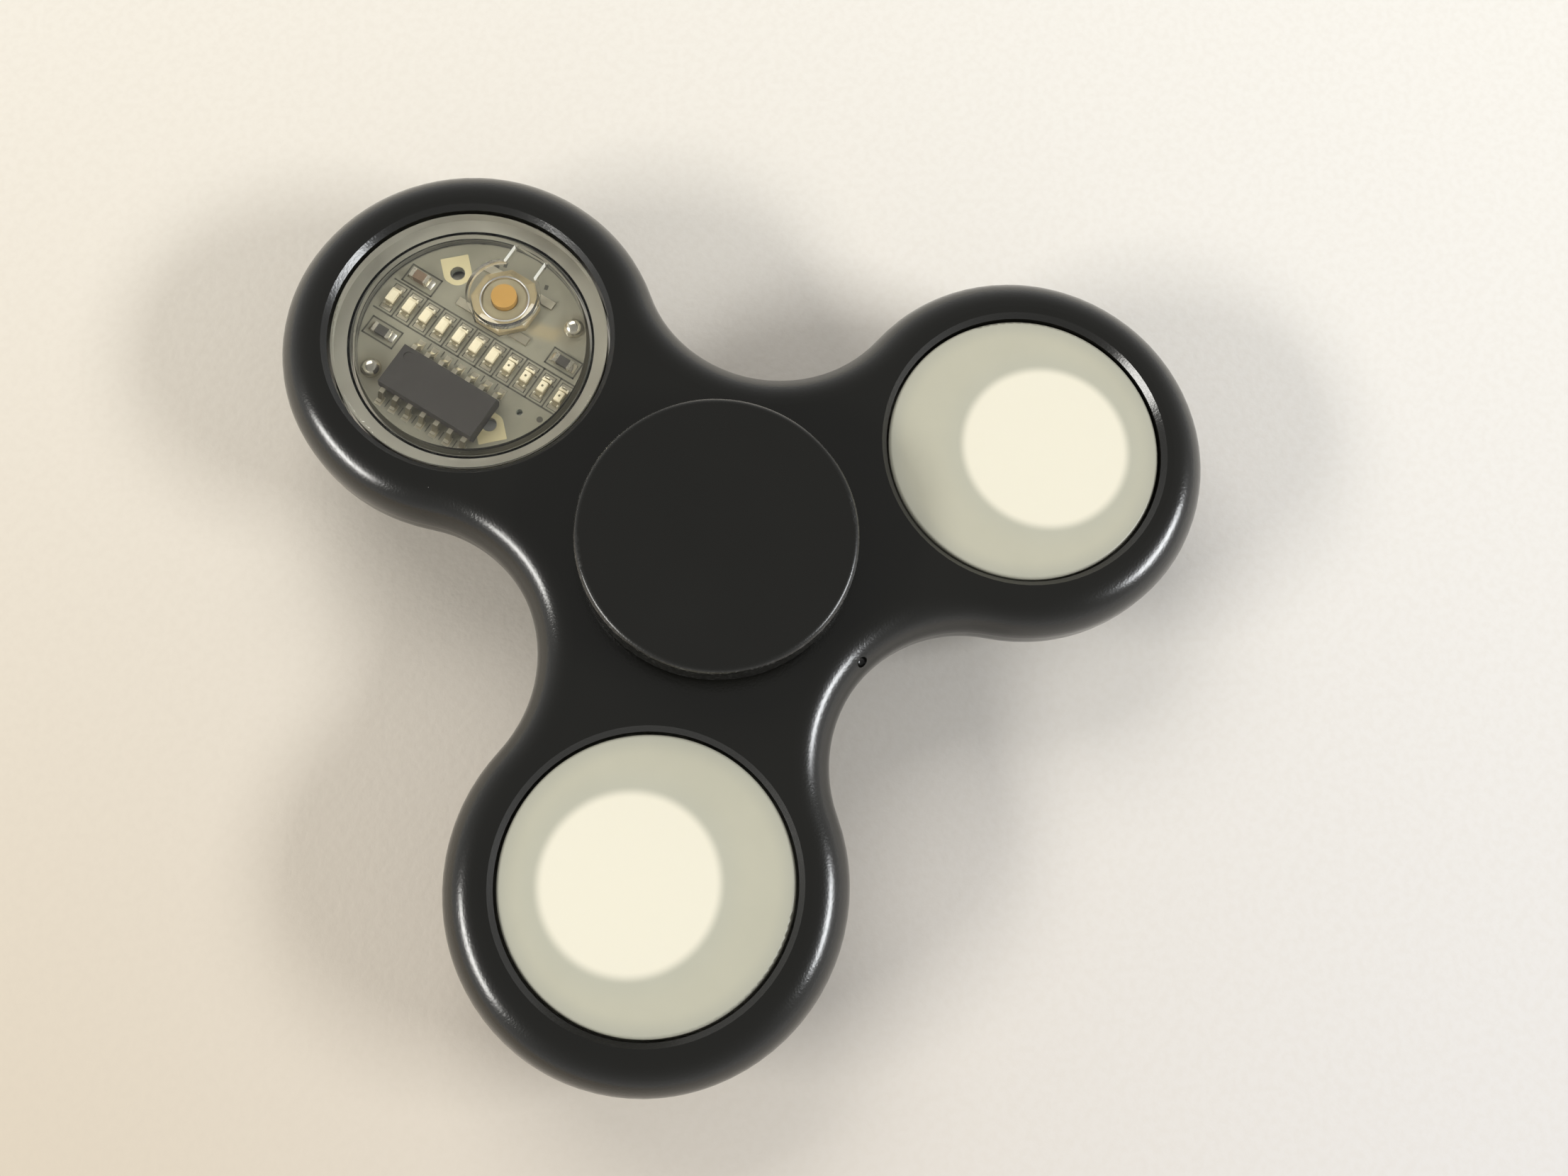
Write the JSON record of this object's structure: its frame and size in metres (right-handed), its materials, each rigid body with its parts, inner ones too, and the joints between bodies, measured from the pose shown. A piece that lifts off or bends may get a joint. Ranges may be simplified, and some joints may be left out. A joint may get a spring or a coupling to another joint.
{
  "type": "fidget spinner",
  "caption": "Three-lobed spinner on a ball bearing between round finger caps, with a lit message board in one lobe and weights in the others.",
  "frame": {"origin": "centre of the bottom finger cap's flat face, on the spin axis", "axes": "+Z along the spin axis, out of the top finger cap; +Y through the lobe that holds the circuit board"},
  "size_m": [0.0746, 0.0685, 0.014],
  "materials": {
    "body_plastic": "satin, finely spark-textured black",
    "cap_plastic": "satin black, smooth flat face",
    "race_steel": "ground bearing steel",
    "ball_steel": "polished",
    "sheet_steel": "pressed sheet steel",
    "clear_plastic": "clear moulded plastic",
    "milky_plastic": "translucent white plastic with a soft gloss",
    "board": "white solder mask",
    "light_body": "cream phosphor lens",
    "chip_body": "moulded black epoxy",
    "solder": "tinned",
    "switch_plastic": "cream heat-resistant plastic",
    "plunger_plastic": "orange plastic",
    "capacitor_body": "fired brown ceramic",
    "resistor_body": "dark glaze",
    "gold_plate": "thin gold plate",
    "cell_steel": "nickel-plated steel",
    "weight_coat": "white painted steel"
  },
  "bodies": {
    "grip": {"top_finger_cap": "cap_plastic", "bottom_finger_cap": "cap_plastic", "bearing_inner_race": "race_steel"},
    "rotor": {"spinner_body": "body_plastic", "bearing_outer_race": "race_steel", "top_bearing_shield": "sheet_steel", "bottom_bearing_shield": "sheet_steel", "clear_cup": "clear_plastic", "clear_cover": "clear_plastic", "circuit_board": "board", "light_01": "light_body", "light_02": "light_body", "light_03": "light_body", "light_04": "light_body", "light_05": "light_body", "light_06": "light_body", "light_07": "light_body", "light_08": "light_body", "light_09": "light_body", "light_10": "light_body", "light_11": "light_body", "controller_chip": "chip_body", "chip_leads": "solder", "switch_base": "switch_plastic", "switch_frame": "sheet_steel", "switch_dome": "sheet_steel", "switch_feet": "solder", "chip_capacitor": "capacitor_body", "pullup_resistor": "resistor_body", "supply_resistor": "resistor_body", "coin_cell": "cell_steel", "battery_clip": "sheet_steel", "battery_contact": "gold_plate", "solder_joints": "solder", "right_diffuser": "milky_plastic", "right_weight_cup": "milky_plastic", "right_weight": "weight_coat", "left_diffuser": "milky_plastic", "left_weight_cup": "milky_plastic", "left_weight": "weight_coat"},
    "ball_cage": {"bearing_balls": "ball_steel", "bearing_cage": "sheet_steel"},
    "tongue": {"press_tongue": "clear_plastic"},
    "plunger": {"switch_plunger": "plunger_plastic"}
  },
  "joints": [
    {"name": "rotor_spin", "type": "hinge", "parent": "grip", "child": "rotor", "pos_m": [0, 0, 0.007], "axis": [0, 0, 1], "continuous": true},
    {"name": "cage_spin", "type": "hinge", "parent": "grip", "child": "ball_cage", "pos_m": [0, 0, 0.007], "axis": [0, 0, 1], "continuous": true},
    {"name": "tongue_press", "type": "hinge", "parent": "rotor", "child": "tongue", "pos_m": [0.0085, 0.02709, 0.00935], "axis": [0.1607, -0.987, 0], "range_deg": [0, 3.5], "stiffness_Nm_per_rad": 0.06},
    {"name": "plunger_travel", "type": "slide", "parent": "rotor", "child": "plunger", "axis": [0, 0, -1], "range_m": [0, 0.00025], "deforming": ["switch_dome"]}
  ],
  "couplings": [
    {"joint": "cage_spin", "follows": "rotor_spin", "ratio": 0.6176},
    {"joint": "plunger_travel", "follows": "tongue_press", "m_per_rad": 0.00402}
  ]
}
